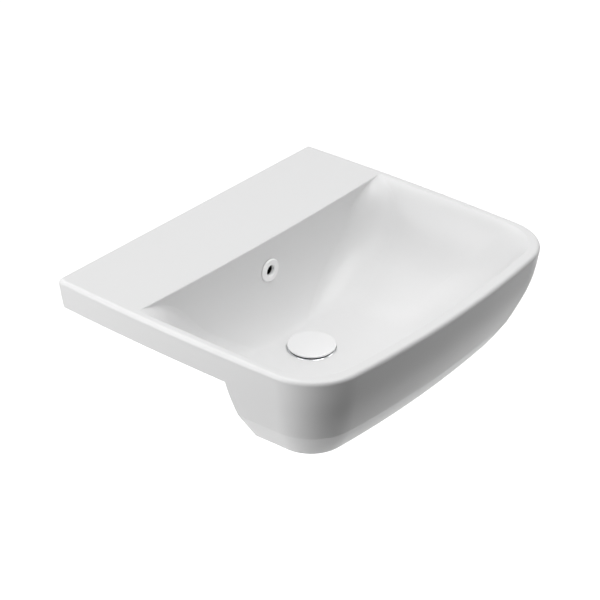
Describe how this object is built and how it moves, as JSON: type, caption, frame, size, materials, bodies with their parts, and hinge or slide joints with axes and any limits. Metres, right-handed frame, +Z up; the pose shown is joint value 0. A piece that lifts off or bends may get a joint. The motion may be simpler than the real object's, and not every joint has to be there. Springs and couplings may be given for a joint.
{
  "type": "semi recessed basin",
  "caption": "Ceramic basin whose rear half sits in a worktop, with an overflow ring and a push-open plug over its waste.",
  "frame": {"origin": "where the wall plane, the worktop level and the centre line meet: the back edge of the skirt's underside", "axes": "+Y points into the wall, the front of the basin faces -Y, +X is to the right seen from the front, +Z is up; the deck's top is at z 44 mm"},
  "size_m": [0.5002, 0.4346, 0.2103],
  "materials": {
    "glaze": "gloss white glaze",
    "white_plastic": "gloss white",
    "white_cap": "gloss white",
    "chrome": "bright plated",
    "brass": "machined",
    "steel": "drawn stainless wire and nut",
    "black_rubber": "matt",
    "grey_plastic": "moulded acetal"
  },
  "bodies": {
    "basin": {"basin_body": "glaze", "overflow_ring": "white_plastic", "waste_body": "chrome", "flange_seal": "black_rubber", "lower_seal": "black_rubber", "slip_washer": "grey_plastic", "back_nut": "brass", "cartridge_housing": "brass", "guide_bush": "brass", "cartridge_spring": "steel"},
    "plug": {"plug_cap": "white_cap", "cap_carrier": "chrome", "plug_seal": "black_rubber", "plug_stud": "brass", "lock_nut": "steel", "plunger": "brass", "latch_rotor": "grey_plastic"}
  },
  "joints": [
    {"name": "pop_up", "type": "slide", "parent": "basin", "child": "plug", "axis": [0, 0, 1], "range_m": [-0.0012, 0.009], "stiffness_N_per_m": 1000, "springref_m": 0.0013, "deforming": ["cartridge_spring"]}
  ]
}
